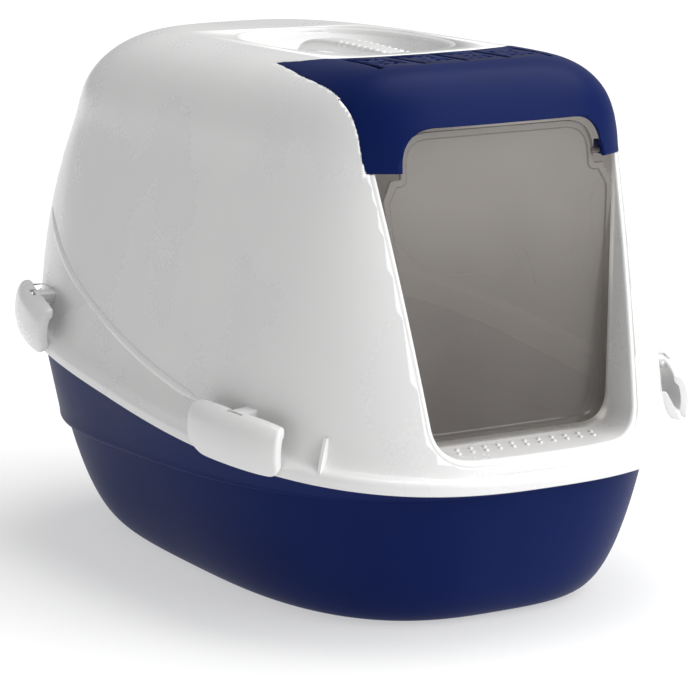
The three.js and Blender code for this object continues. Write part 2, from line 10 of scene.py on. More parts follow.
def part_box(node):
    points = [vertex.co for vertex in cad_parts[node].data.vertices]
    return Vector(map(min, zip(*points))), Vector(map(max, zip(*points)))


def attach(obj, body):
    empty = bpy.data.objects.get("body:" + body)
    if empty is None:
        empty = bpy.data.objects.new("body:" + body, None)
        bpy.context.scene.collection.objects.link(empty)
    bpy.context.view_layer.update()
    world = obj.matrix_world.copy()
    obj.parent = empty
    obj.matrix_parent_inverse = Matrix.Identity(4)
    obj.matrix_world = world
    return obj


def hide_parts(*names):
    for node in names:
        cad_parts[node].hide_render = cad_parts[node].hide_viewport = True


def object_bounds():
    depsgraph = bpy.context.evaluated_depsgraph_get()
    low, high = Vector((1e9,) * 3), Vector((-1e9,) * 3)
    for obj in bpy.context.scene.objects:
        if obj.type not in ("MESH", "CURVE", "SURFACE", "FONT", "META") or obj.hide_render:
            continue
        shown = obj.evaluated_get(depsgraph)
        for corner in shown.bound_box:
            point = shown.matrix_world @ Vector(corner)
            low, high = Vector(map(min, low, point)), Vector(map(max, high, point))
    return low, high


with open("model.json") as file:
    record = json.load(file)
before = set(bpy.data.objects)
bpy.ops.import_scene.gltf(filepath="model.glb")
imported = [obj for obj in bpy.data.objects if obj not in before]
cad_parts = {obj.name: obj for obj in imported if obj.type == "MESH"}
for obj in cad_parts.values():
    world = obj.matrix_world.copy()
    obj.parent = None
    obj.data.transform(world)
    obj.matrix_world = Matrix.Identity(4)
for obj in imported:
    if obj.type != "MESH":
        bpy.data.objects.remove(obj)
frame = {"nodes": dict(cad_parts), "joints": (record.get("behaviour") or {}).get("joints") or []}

cad_low, cad_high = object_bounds()
scene = bpy.context.scene


# ---------------------------------------------------------------- room
# A white sweep of paper under the box, two broad soft lights from far off, above
# and in front, both to the right, a lamp inside the hood, and a camera a little
# above the rim that looks at the door's left.

FLOOR_REACH = 14.0
CAMERA_AZIMUTH = radians(-31.64)
CAMERA_ELEVATION = radians(12.61)
CAMERA_ROLL = radians(0.67)
CAMERA_DISTANCE = 2.607
CAMERA_TARGET = Vector((-0.00295, -0.00812, 0.1562))
SENSOR_WIDTH = 36.0
CAMERA_LENS = 175.6


def place_camera():
    right = Vector((cos(CAMERA_AZIMUTH), sin(CAMERA_AZIMUTH), 0))
    back = Vector((
        sin(CAMERA_AZIMUTH) * cos(CAMERA_ELEVATION),
        -cos(CAMERA_AZIMUTH) * cos(CAMERA_ELEVATION),
        sin(CAMERA_ELEVATION),
    ))
    up = back.cross(right)
    lens = bpy.data.cameras.new("camera")
    lens.sensor_width = SENSOR_WIDTH
    lens.lens = CAMERA_LENS
    lens.clip_end = 30.0
    camera = bpy.data.objects.new("camera", lens)
    scene.collection.objects.link(camera)
    turn = Matrix((right, up, back)).transposed() @ Matrix.Rotation(CAMERA_ROLL, 3, "Z")
    camera.matrix_world = Matrix.Translation(CAMERA_TARGET + back * CAMERA_DISTANCE) @ turn.to_4x4()
    scene.camera = camera


def sun_light(name, comes_from, strength, spread):
    """A soft light from far off; spread is how wide it looks, in degrees."""
    lamp = bpy.data.lights.new(name, "SUN")
    lamp.energy = strength
    lamp.angle = radians(spread)
    holder = bpy.data.objects.new(name, lamp)
    scene.collection.objects.link(holder)
    holder.matrix_world = (-Vector(comes_from)).to_track_quat("-Z", "Y").to_matrix().to_4x4()


def link(name, mesh):
    piece = bpy.data.objects.new(name, mesh)
    scene.collection.objects.link(piece)
    return piece


place_camera()
sun_light("light_above", (0.50, 0.0, 1.0), 2.4, 60)
sun_light("light_front", (0.60, -0.85, 0.50), 1.7, 50)

# White walls let some light through; this lamp inside stands for it.
glow = bpy.data.lights.new("light_inside", "POINT")
glow.energy = 0.34
glow.color = (1.0, 0.93, 0.85)
glow.shadow_soft_size = 0.06
glow_holder = bpy.data.objects.new("light_inside", glow)
scene.collection.objects.link(glow_holder)
glow_holder.location = (0, -0.02, 0.26)
glow_holder.visible_camera = False

sky = bpy.data.worlds.new("studio")
scene.world = sky
sky.use_nodes = True
sky_nodes = sky.node_tree.nodes
backdrop = sky_nodes["Background"]
backdrop.inputs["Color"].default_value = (1, 1, 1, 1)
rays = sky_nodes.new("ShaderNodeLightPath")
strength = sky_nodes.new("ShaderNodeMapRange")
strength.inputs["To Min"].default_value = 0.36
strength.inputs["To Max"].default_value = 1.0
sky.node_tree.links.new(rays.outputs["Is Camera Ray"], strength.inputs["Value"])
sky.node_tree.links.new(strength.outputs["Result"], backdrop.inputs["Strength"])
scene.view_settings.view_transform = "Standard"

sheet = bmesh.new()
bmesh.ops.create_grid(sheet, x_segments=2, y_segments=2, size=FLOOR_REACH)
bmesh.ops.translate(sheet, verts=sheet.verts, vec=(0, 0, cad_low.z - 0.0005))
floor_mesh = bpy.data.meshes.new("floor")
sheet.to_mesh(floor_mesh)
sheet.free()
floor = link("floor", floor_mesh)
paper = bpy.data.materials.new("paper")
paper.use_nodes = True
paper_shader = paper.node_tree.nodes["Principled BSDF"]
paper_shader.inputs["Base Color"].default_value = (0.50, 0.50, 0.50, 1)
paper_shader.inputs["Emission Color"].default_value = (1, 1, 1, 1)
paper_shader.inputs["Emission Strength"].default_value = 0.50
paper_shader.inputs["Roughness"].default_value = 0.9
paper_shader.inputs["Specular IOR Level"].default_value = 0.0
floor.data.materials.append(paper)


# ---------------------------------------------------------------- tray
# The open tray: one injection moulding in navy polypropylene with a satin
# skin, a styling ledge round its side and an outward lip the hood sits on.

MM = 0.001
AROUND = 192

_, hood_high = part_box("hood_shell")
RIM_SIDE = hood_high.x / MM
RIM_END = hood_high.y / MM
RIM_HEIGHT = 139.0
RIM_SLOPE = 0.1
RIM_POWERS = (2.69, 2.99)
TRAY_WALL = 2.6
TRAY_FLOOR = 3.0
LEDGE_HEIGHT = 89.0
LEDGE_SLOPE = -0.06
LIP_THICKNESS = 4.0
LIP_INSET = 3.3

NAVY = (0.0036, 0.0108, 0.0740)
NAVY_PALE = (0.0050, 0.0142, 0.0880)


class Shade:
    """A socket in a material's node tree; arithmetic on it adds the nodes for it."""

    def __init__(self, tree, socket=None):
        self.tree = tree
        self.socket = socket

    def node(self, kind, settings, inputs, output=0):
        made = self.tree.nodes.new(kind)
        for key, value in settings.items():
            if key == "stops":
                ramp = made.color_ramp
                while len(ramp.elements) < len(value):
                    ramp.elements.new(0.5)
                for element, (position, colour) in zip(ramp.elements, value):
                    element.position = position
                    element.color = colour
            else:
                setattr(made, key, value)
        for key, value in inputs.items():
            if isinstance(value, Shade):
                self.tree.links.new(value.socket, made.inputs[key])
            else:
                made.inputs[key].default_value = value
        return Shade(self.tree, made.outputs[output])

    def maths(self, operation, *values):
        return self.node("ShaderNodeMath", {"operation": operation}, dict(enumerate(values)))

    def __add__(self, other):
        return self.maths("ADD", self, other)

    __radd__ = __add__

    def __sub__(self, other):
        return self.maths("SUBTRACT", self, other)

    def __rsub__(self, other):
        return self.maths("SUBTRACT", other, self)

    def __mul__(self, other):
        return self.maths("MULTIPLY", self, other)

    __rmul__ = __mul__

    def spread(self, low, high):
        """From 0 at low to 1 at high."""
        return self.node(
            "ShaderNodeMapRange", {"interpolation_type": "SMOOTHSTEP"},
            {"Value": self, "From Min": low, "From Max": high},
        )

    def noise(self, scale, detail=3.0, where=None):
        place = where or self.node("ShaderNodeTexCoord", {}, {}, "Object")
        return self.node("ShaderNodeTexNoise", {}, {"Vector": place, "Scale": scale, "Detail": detail})

    def between(self, factor, low, high):
        """A colour from low to high."""
        return self.node(
            "ShaderNodeMix", {"data_type": "RGBA"},
            {0: factor, 6: (*low, 1), 7: (*high, 1)}, 2,
        )


def new_material(name):
    """A material with its Principled shader, and a Shade that starts its maths."""
    material = bpy.data.materials.new(name)
    material.use_nodes = True
    return material, material.node_tree.nodes["Principled BSDF"], Shade(material.node_tree)


def plug(shader, socket, value):
    """Links a worked value to one of the shader's sockets."""
    value.tree.links.new(value.socket, shader.inputs[socket])


def moulded_plastic(name, dark, pale, rough, grain, coat=0.0, shine=0.5):
    """Moulded plastic: slow flow marks in colour and gloss over a fine grain."""
    material, shader, shade = new_material(name)
    flow = shade.noise(9.0, 2.0).spread(0.35, 0.68)
    specks = shade.noise(420.0, 2.0)
    plug(shader, "Base Color", shade.between(flow * 0.75 + specks * 0.25, dark, pale))
    plug(shader, "Roughness", rough[0] + (rough[1] - rough[0]) * (flow * 0.6 + specks * 0.4))
    skin = shade.noise(grain[0], 2.0) + 0.6 * shade.noise(55.0, 1.0)
    plug(shader, "Normal", shade.node(
        "ShaderNodeBump", {}, {"Strength": grain[1], "Distance": 0.0004, "Height": skin},
    ))
    shader.inputs["Specular IOR Level"].default_value = shine
    shader.inputs["Coat Weight"].default_value = coat
    shader.inputs["Coat Roughness"].default_value = 0.12
    return material


def mix(a, b, t):
    return a + (b - a) * t


def level(side, front, rear, powers, z, slope=0.0, shift=0.0):
    """One level of a body: a rounded outline at a height that may slope along Y."""
    return (side, front, rear, powers[0], powers[1], z, slope, shift)


def inset(side, front, rear, powers, z, slope=RIM_SLOPE):
    return level(RIM_SIDE - side, RIM_END - front, RIM_END - rear, powers, z, slope)


def blend(a, b, t):
    return tuple(mix(p, q, t) for p, q in zip(a, b))


def points_of(ring_level, count=AROUND):
    side, front, rear, power_front, power_rear, z, slope, shift = ring_level
    points = []
    for i in range(count):
        c = cos(2 * pi * i / count)
        s = sin(2 * pi * i / count)
        power, reach = (power_front, front) if s < 0 else (power_rear, rear)
        x = side * (1 if c > 0 else -1) * abs(c) ** (2 / power)
        y = shift + reach * (1 if s > 0 else -1) * abs(s) ** (2 / power)
        points.append(Vector((x, y, z + slope * y)) * MM)
    return points


def loft(bm, rings, caps=(True, True), closed=True):
    """Extrudes a ring of points from place to place; caps close its two ends."""
    count = len(rings[0])
    place = bm.verts.layers.int.get("place") or bm.verts.layers.int.new("place")
    if closed:
        first = bmesh.ops.create_circle(bm, cap_ends=False, segments=count, radius=1)["verts"]
    else:
        first = [bm.verts.new((i, 0, 0)) for i in range(count)]
        for a, b in zip(first, first[1:]):
            bm.edges.new((a, b))
    for i, vert in enumerate(first):
        vert[place] = i
        vert.co = rings[0][i]
    members = set(first)
    edges = list({e for v in first for e in v.link_edges if e.verts[0] in members and e.verts[1] in members})
    ends = [edges]
    for ring in rings[1:]:
        grown = bmesh.ops.extrude_edge_only(bm, edges=edges)["geom"]
        members = {g for g in grown if isinstance(g, bmesh.types.BMVert)}
        edges = [g for g in grown if isinstance(g, bmesh.types.BMEdge) and set(g.verts) <= members]
        for vert in members:
            vert.co = ring[vert[place]]
    ends.append(edges)
    for end, cap in zip(ends, caps):
        if cap:
            bmesh.ops.contextual_create(bm, geom=end)
    return ends


def finish_mesh(name, bm, materials, crease=32.0):
    """Closes up a mesh, turns its faces out, smooths it except at its edges, and links it."""
    bmesh.ops.remove_doubles(bm, verts=bm.verts, dist=2e-6)
    bmesh.ops.recalc_face_normals(bm, faces=bm.faces)
    mesh = bpy.data.meshes.new(name)
    bm.to_mesh(mesh)
    bm.free()
    for material in materials:
        mesh.materials.append(material)
    mesh.shade_smooth()
    mesh.set_sharp_from_angle(angle=radians(crease))
    return link(name, mesh)


def bezier(a, b, c, steps):
    """Levels along a bend from a to c, drawn towards b."""
    return [blend(blend(a, b, k / steps), blend(b, c, k / steps), k / steps) for k in range(steps + 1)]


def tray_side(depth):
    foot = inset(81, 79, 78, (2.96, 2.97), 0, 0)
    ledge = inset(32, 20, 31, RIM_POWERS, LEDGE_HEIGHT, LEDGE_SLOPE)
    band = inset(25, 17, 24, RIM_POWERS, 0)
    under = RIM_HEIGHT - LIP_THICKNESS / 2
    levels = []
    for k in range(30):
        t = (k / 29) ** 1.8
        here = list(blend(foot, ledge, t ** 0.42))
        here[5] = LEDGE_HEIGHT * t
        here[6] = LEDGE_SLOPE * t
        levels.append(here)
    start = mix(LEDGE_HEIGHT, under, 0.05)
    step = list(blend(ledge, band, 0.75))
    step[5] = start
    step[6] = mix(LEDGE_SLOPE, RIM_SLOPE, 0.05)
    shoulder = list(band)
    shoulder[5] = mix(LEDGE_HEIGHT, under, 0.14)
    shoulder[6] = mix(LEDGE_SLOPE, RIM_SLOPE, 0.14)
    corner = list(blend(ledge, band, 1.0))
    corner[5] = mix(LEDGE_HEIGHT, under, 0.07)
    corner[6] = mix(LEDGE_SLOPE, RIM_SLOPE, 0.07)
    top = inset(12, 12, 12, RIM_POWERS, under)
    levels += bezier(step, corner, shoulder, 5)
    levels += [blend(shoulder, top, k / 10) for k in range(1, 11)]
    return [(s - depth, f - depth, r - depth, *rest) for s, f, r, *rest in levels]


def make_tray():
    under = RIM_HEIGHT - LIP_THICKNESS / 2
    top = under + LIP_THICKNESS
    outside = tray_side(0)
    inside = [one for one in tray_side(TRAY_WALL) if one[5] > TRAY_FLOOR + 2]
    rounding = []
    for k in range(5):
        a = pi / 2 * k / 4
        first = outside[0]
        drawn_in = 3 * (1 - sin(a))
        rounding.append((first[0] - drawn_in, first[1] - drawn_in, first[2] - drawn_in,
                         *first[3:5], 3 * (1 - cos(a)) * 0.5, 0, 0))
    lip = [
        inset(LIP_INSET + 1, LIP_INSET + 1, LIP_INSET + 1, RIM_POWERS, under),
        inset(LIP_INSET, LIP_INSET, LIP_INSET, RIM_POWERS, under + 1),
        inset(LIP_INSET, LIP_INSET, LIP_INSET, RIM_POWERS, top - 1.2),
        inset(LIP_INSET + 1.2, LIP_INSET + 1.2, LIP_INSET + 1.2, RIM_POWERS, top),
    ]
    mouth = [inset(12 + d, 12 + d, 12 + d, RIM_POWERS, z) for d, z in ((1.4, top), (TRAY_WALL, top - 1.2))]
    base = inside[0]
    floor_edge = [
        (*(v - 9 for v in base[:3]), *base[3:5], TRAY_FLOOR, 0, 0),
        (*(v - 4 for v in base[:3]), *base[3:5], TRAY_FLOOR + 0.7, 0, 0),
    ]
    chain = rounding + [o for o in outside if o[5] > 1.6] + lip + mouth + inside[::-1] + floor_edge[::-1]
    bm = bmesh.new()
    loft(bm, [points_of(one) for one in chain])
    return finish_mesh("tray_moulding", bm, [navy_plastic])


navy_plastic = moulded_plastic("navy_plastic", NAVY, NAVY_PALE, (0.36, 0.46), (900.0, 0.10), shine=0.05)
tray = make_tray()
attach(tray, "tray")
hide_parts("base_tray")


# ---------------------------------------------------------------- hood
# The hood: one white polypropylene moulding with a half-gloss skin. A rolled
# flange sits on the tray's lip, a rib hangs inside it, and the doorway's
# border turns in to a deep frame with a dimpled sill.

HOOD_TOP = 392.0
TOP_SLOPE = -0.03
WALL = 3.0
FLANGE_HEIGHT = 12.0
SHOULDER_RISE = 65.0
SHOULDER_RUN = (65.0, 51.0, 70.0)
REAR_BULGE = 14.0
WALL_FOOT = RIM_HEIGHT + FLANGE_HEIGHT
SHOULDER_START = HOOD_TOP - SHOULDER_RISE
FOOT_POWERS = (2.54, 2.95)
SHOULDER_POWERS = (3.9, 3.95)
TOP_POWERS = (5.4, 3.2)
WALL_LEVELS = 30
SHOULDER_LEVELS = 26

SILL = 134.0
SILL_CORNER = 26.0
FRAME_BACK = -198.0
FRAME_WALL = 3.0
LIP_ROUND = 4.5
EAR_BOTTOM = 329.0

SCOOP_CENTRE = 11.0
SCOOP_HALF_WIDTH = 64.0
SCOOP_HALF_LENGTH = 95.0
SCOOP_DEPTH = 40.0

WHITE = (0.765, 0.765, 0.765)
WHITE_WARM = (0.80, 0.798, 0.793)


def wall_level(t):
    foot = inset(12, 6, 9, FOOT_POWERS, WALL_FOOT)
    top = inset(61, 66, 26, SHOULDER_POWERS, SHOULDER_START, TOP_SLOPE)
    here = list(blend(foot, top, t))
    here[2] += REAR_BULGE * 4 * t * (1 - t)
    return here


def skin_levels():
    """The hood's outer skin from the wall's foot to the edge of its flat top."""
    levels = [wall_level(k / WALL_LEVELS) for k in range(WALL_LEVELS + 1)]
    start = levels[-1]
    for k in range(1, SHOULDER_LEVELS + 1):
        a = pi / 2 * k / SHOULDER_LEVELS
        t = 1 - cos(a)
        levels.append([
            *(start[i] - SHOULDER_RUN[i] * t for i in range(3)),
            mix(SHOULDER_POWERS[0], TOP_POWERS[0], t),
            mix(SHOULDER_POWERS[1], TOP_POWERS[1], t),
            SHOULDER_START + SHOULDER_RISE * sin(a), TOP_SLOPE, 0,
        ])
    for _ in range(10):
        levels = [levels[0]] + [
            [(p + 2 * q + r) / 4 for p, q, r in zip(a, b, c)]
            for a, b, c in zip(levels, levels[1:], levels[2:])
        ] + [levels[-1]]
    return levels


def sunk(levels, depth):
    """The same skin further in, by its own slope."""
    result = []
    for i, here in enumerate(levels):
        before = levels[max(i - 1, 0)]
        after = levels[min(i + 1, len(levels) - 1)]
        rise = after[5] - before[5]
        run = before[0] - after[0]
        reach = sqrt(rise * rise + run * run) or 1
        out = rise / reach
        up = run / reach
        result.append([*(v - depth * out for v in here[:3]), *here[3:5], here[5] - depth * up, *here[6:]])
    return result


def flange_levels(skin):
    """The rolled flange, from its foot to where it runs into the wall."""
    def edge(amount, up):
        return inset(amount, amount, amount, RIM_POWERS, RIM_HEIGHT + up)
    low = edge(0, 0.8)
    roll = bezier(edge(0, 5.0), edge(0.2, 10.4), edge(6.5, 11.0), 7)
    corner = list(skin[0])
    corner[5] = WALL_FOOT + 0.5
    fillet = bezier(edge(6.5, 11.0), corner, skin[3], 7)
    return [low] + roll + fillet[1:-1] + skin[3:]


def hood_chain(skin):
    """Every level of the hood, from inside its top, round its foot, to outside its top."""
    def rib(depth, z):
        return inset(18.1 + depth, 25.7 + depth, 18.1 + depth, RIM_POWERS, z)
    inside = sunk(skin, WALL)[::-1]
    lip_top = RIM_HEIGHT + LIP_THICKNESS / 2 + 0.35
    skirt = inset(2.5, 2.5, 2.5, RIM_POWERS, lip_top)
    skirt_foot = inset(2.5, 2.5, 2.5, RIM_POWERS, RIM_HEIGHT)
    foot = inset(0.8, 0.8, 0.8, RIM_POWERS, RIM_HEIGHT)
    under = [rib(2.5, RIM_HEIGHT + 11), rib(2.5, RIM_HEIGHT - 7.4), rib(1.9, RIM_HEIGHT - 8),
             rib(0.6, RIM_HEIGHT - 8), rib(0, RIM_HEIGHT - 7.4), rib(0, lip_top), skirt, skirt_foot, foot]
    return inside[:-1] + under + flange_levels(skin)


def door_half_width(z):
    foot = RIM_SIDE - 12 - 108
    shoulder = RIM_SIDE - 61 - 43
    return mix(foot, shoulder, (z - WALL_FOOT) / (SHOULDER_START - WALL_FOOT))


def rounded(corners, radii, steps):
    """A polygon with its corners drawn round."""
    points = []
    for i, here in enumerate(Vector(c) for c in corners):
        if radii[i] == 0:
            points.append(here)
            continue
        to_before = (Vector(corners[i - 1]) - here).normalized()
        to_after = (Vector(corners[(i + 1) % len(corners)]) - here).normalized()
        run = radii[i] / sqrt((1 + to_before.dot(to_after)) / (1 - to_before.dot(to_after))) ** -1
        start = here + to_before * run
        end = here + to_after * run
        for k in range(steps + 1):
            t = k / steps
            points.append((start.lerp(here, t)).lerp(here.lerp(end, t), t))
    return points


def prism(name, outline, plane, near, far):
    """A cutter: an outline in the XZ or XY plane, pushed through along the third axis."""
    bm = bmesh.new()
    def lift(point, depth):
        x, v = point
        return Vector((x, depth, v)) * MM if plane == "XZ" else Vector((x, v, depth)) * MM
    loft(bm, [[lift(p, near) for p in outline], [lift(p, far) for p in outline]])
    return finish_mesh(name, bm, [])


def carve(piece, tool, operation="DIFFERENCE", keep=False):
    """Cuts a piece with a tool, for good, and puts the tool away."""
    cut = piece.modifiers.new("cut", "BOOLEAN")
    cut.operation = operation
    cut.object = tool
    cut.solver = "EXACT"
    worked = piece.evaluated_get(bpy.context.evaluated_depsgraph_get())
    mesh = bpy.data.meshes.new_from_object(worked)
    piece.modifiers.remove(cut)
    piece.data = mesh
    if not keep:
        bpy.data.objects.remove(tool)
    return piece


def door_outline(grow, top):
    low = SILL - grow
    return rounded(
        [(door_half_width(low) + grow, low), (door_half_width(top) + grow, top),
         (-door_half_width(top) - grow, top), (-door_half_width(low) - grow, low)],
        [SILL_CORNER + grow, 0, 0, SILL_CORNER + grow], 12,
    )


def cover_plan(grow, horn=44.0):
    """The front cover's outline seen from above, moved out by grow."""
    narrow = door_half_width(EAR_BOTTOM)
    wide = narrow + 9
    front = RIM_END - 66
    corners = [
        (0, -104), (wide * 0.4, -104 + horn * 0.05), (wide * 0.68, -104 + horn * 0.2),
        (wide * 0.84, -104 + horn * 0.55), (wide - 9, -104 + horn), (wide - 1, -154 + horn),
        (wide, -179 + horn), (wide - 1, -front + 22), (narrow, -front + 2), (narrow, -front - 60),
    ]
    both = corners + [(-x, y) for x, y in corners[:0:-1]]
    radii = [60, 60, 60, 40, 2, 60, 30, 14, 0, 0] + [0, 0, 14, 30, 60, 2, 40, 60, 60]
    outline = rounded(both, [min(r, 60) * 0.2 if r > 14 else r * 0.5 for r in radii], 6)
    moved = []
    for i, here in enumerate(outline):
        one = (here - outline[i - 1]).normalized()
        two = (outline[(i + 1) % len(outline)] - here).normalized()
        across = Vector((one.y + two.y, -one.x - two.x)).normalized()
        moved.append(here + across * grow / max(across.dot(Vector((one.y, -one.x))), 0.35))
    return moved


def scoop_level(grow, z, share=1.0, forward=0.0, end=1.0):
    return level(SCOOP_HALF_WIDTH * share + grow, SCOOP_HALF_LENGTH * end + grow,
                 SCOOP_HALF_LENGTH * end + grow, (2.4, 2.4), z, TOP_SLOPE, SCOOP_CENTRE - forward)


def smooth_chain(levels, passes):
    for _ in range(passes):
        levels = [levels[0]] + [
            tuple((p + 2 * q + r) / 4 for p, q, r in zip(a, b, c))
            for a, b, c in zip(levels, levels[1:], levels[2:])
        ] + [levels[-1]]
    return levels


def scoop_bowl(bm):
    """The sunk bowl for the hand, with its soft rim, as a shell of its own."""
    stops = [
        scoop_level(5, HOOD_TOP), scoop_level(3.4, HOOD_TOP - 0.1), scoop_level(1.2, HOOD_TOP - 1.2),
        scoop_level(0, HOOD_TOP - 3.4), scoop_level(0, HOOD_TOP - 10, 0.93, 8, 0.86),
        scoop_level(0, HOOD_TOP - 22, 0.82, 18, 0.7), scoop_level(0, HOOD_TOP - 34, 0.66, 22, 0.58),
        scoop_level(0, HOOD_TOP - 39, 0.58, 23, 0.51), scoop_level(0, HOOD_TOP - SCOOP_DEPTH, 0.44, 24, 0.4),
    ]
    inner = stops[:4]
    for a, b in zip(stops[3:], stops[4:]):
        inner += [blend(a, b, k / 4) for k in range(1, 5)]
    inner = inner[:4] + smooth_chain(inner[3:], 6)[1:]
    outer = [(*(v + WALL for v in one[:3]), *one[3:5], one[5] - (WALL if one[5] < HOOD_TOP - 30 else 0.5),
              *one[6:]) for one in inner[3:]]
    loft(bm, [points_of(one, 96) for one in inner[::-1]], (True, False))
    loft(bm, [points_of(one, 96) for one in outer], (False, True))


def drop_on(tree, start, way):
    """Where a line from start first meets the skin, and which way the skin faces there."""
    hit, normal, _, _ = tree.ray_cast(Vector(start) * MM, Vector(way))
    return hit, normal


def door_frame(bm, tree):
    """The doorway's soft border and deep frame: one section carried round the opening."""
    lower = rounded(
        [(door_half_width(EAR_BOTTOM), EAR_BOTTOM - 0.35), (door_half_width(SILL), SILL), (0, SILL)],
        [0, SILL_CORNER, 0], 14,
    )
    start, bend, middle = lower[0], lower[1:-1], lower[-1]
    path = [start.lerp(bend[0], k / 26) for k in range(26)] + bend
    path += [bend[-1].lerp(middle, k / 6) for k in range(1, 7)]
    path += [Vector((-p.x, p.y)) for p in path[-2::-1]]
    rings = []
    for i, here in enumerate(path):
        before = path[max(i - 1, 0)]
        after = path[min(i + 1, len(path) - 1)]
        along = (after - before).normalized()
        out = Vector((-along.y, along.x))
        if out.dot(here - Vector((0, 230))) < 0:
            out = -out

        def on_skin(offset):
            spot = here + out * offset
            hit, _ = drop_on(tree, (spot.x, -400, spot.y), (0, 1, 0))
            return hit

        rim = on_skin(LIP_ROUND) + Vector((0, 0.35, 0)) * MM
        corner = on_skin(0)
        turned = corner + Vector((0, LIP_ROUND, 0)) * MM
        back = max(FRAME_BACK * MM, turned.y + 1.5 * MM)
        side = Vector((out.x, 0, out.y)) * MM
        ring = [on_skin(LIP_ROUND + 1.5) + Vector((0, 0.9, 0)) * MM]
        for k in range(7):
            t = k / 6
            ring.append(rim.lerp(corner, t).lerp(corner.lerp(turned, t), t))
        for k in range(1, 5):
            ring.append(Vector((corner.x, mix(turned.y, back - 0.8 * MM, k / 4), corner.z)))
        ring.append(Vector((corner.x, back, corner.z)) + side * 0.8)
        ring.append(Vector((corner.x, back, corner.z)) + side * (FRAME_WALL - 0.6))
        ring.append(Vector((corner.x, back - 0.8 * MM, corner.z)) + side * FRAME_WALL)
        front = max(turned.y - 1.5 * MM, rim.y + 1.2 * MM)
        ring.append(Vector((corner.x, front, corner.z)) + side * FRAME_WALL)
        rings.append(ring)
    loft(bm, rings, (True, True), closed=True)


def bead(bm, tree, stops, radius):
    """A half-round bead that runs over the skin through the stops (y, z), on the left."""
    line = []
    for k in range(61):
        t = k / 60 * (len(stops) - 1)
        i = min(int(t), len(stops) - 2)
        u = t - i
        p = [Vector(stops[max(0, min(len(stops) - 1, i + j))]) for j in (-1, 0, 1, 2)]
        line.append(0.5 * (2 * p[1] + (p[2] - p[0]) * u + (2 * p[0] - 5 * p[1] + 4 * p[2] - p[3]) * u * u
                           + (3 * p[1] - p[0] - 3 * p[2] + p[3]) * u ** 3))
    rings = []
    for i, (y, z) in enumerate(line):
        hit, normal = drop_on(tree, (-400, y, z), (1, 0, 0))
        ahead, _ = drop_on(tree, (-400, *line[min(i + 1, 60)]), (1, 0, 0))
        behind, _ = drop_on(tree, (-400, *line[max(i - 1, 0)]), (1, 0, 0))
        along = (ahead - behind).normalized()
        if normal.x > 0:
            normal = -normal
        across = along.cross(normal).normalized()
        size = radius * min(1, (i + 1) / 10, (61 - i) / 6)
        ring = []
        for k in range(9):
            a = pi * k / 8
            ring.append(hit + across * cos(a) * size * 1.6 * MM + normal * (sin(a) * size * 0.75 - 0.1) * MM)
        ring.append(hit - normal * 1.2 * MM)
        rings.append(ring)
    loft(bm, rings)


def mirror_over(bm, part_of):
    """Makes the right-hand twin of what was just made on the left."""
    twins = bmesh.ops.duplicate(bm, geom=part_of)["geom"]
    verts = [g for g in twins if isinstance(g, bmesh.types.BMVert)]
    bmesh.ops.scale(bm, vec=(-1, 1, 1), verts=verts)


def sill_dimples(bm):
    """Rows of small slanted bumps on the sill, for grip."""
    for column in range(11):
        for row in range(2):
            x = (column - 5) * 11.5 + row * 4
            y = -244 + row * 9
            made = bmesh.ops.create_uvsphere(bm, u_segments=10, v_segments=6, radius=1)["verts"]
            turn = Matrix.Translation(Vector((x, y, SILL)) * MM) @ Matrix.Rotation(radians(-28), 4, "Z")
            bmesh.ops.transform(bm, verts=made, matrix=turn @ Matrix.Diagonal((0.0019, 0.0036, 0.0012, 1)))


def rim_point(angle):
    c, s = cos(angle), sin(angle)
    power = RIM_POWERS[0] if s < 0 else RIM_POWERS[1]
    return Vector((RIM_SIDE * abs(c) ** (2 / power), RIM_END * (1 if s > 0 else -1) * abs(s) ** (2 / power)))


def rim_angle(y):
    low, high = -pi / 2, pi / 2
    for _ in range(40):
        middle = (low + high) / 2
        low, high = (middle, high) if rim_point(middle).y < y else (low, middle)
    return low


def rim_walk(y, distance):
    """A point on the flange's edge that far along from y, with the ways out and along there."""
    home = rim_angle(y)
    angle = home
    for _ in range(30):
        gone = (rim_point(angle) - rim_point(home)).length * (1 if angle > home else -1)
        angle += (distance - gone) / 260
    along = (rim_point(angle + 1e-3) - rim_point(angle - 1e-3)).normalized()
    return rim_point(angle), Vector((along.y, -along.x)), along


def flange_fins(bm):
    """The upright stop beside each front clip, a thin blade between flange and wall."""
    outline = [(-17, 2), (-1.2, 2), (-0.8, 8), (-3.5, 14), (-12, 29.5), (-13.5, 31), (-17, 31)]
    foot, out, along = rim_walk(FIN_Y, 0)
    for side in (-1, 1):
        rings = []
        for thick, shrink in ((-1.6, 0.7), (-1.1, 0), (1.1, 0), (1.6, 0.7)):
            ring = []
            for reach, up in outline:
                spot = foot + out * (reach - shrink) + along * thick
                height = RIM_HEIGHT + RIM_SLOPE * foot.y + up - shrink
                ring.append(Vector((side * spot.x, spot.y, height)) * MM)
            rings.append(ring)
        loft(bm, rings)


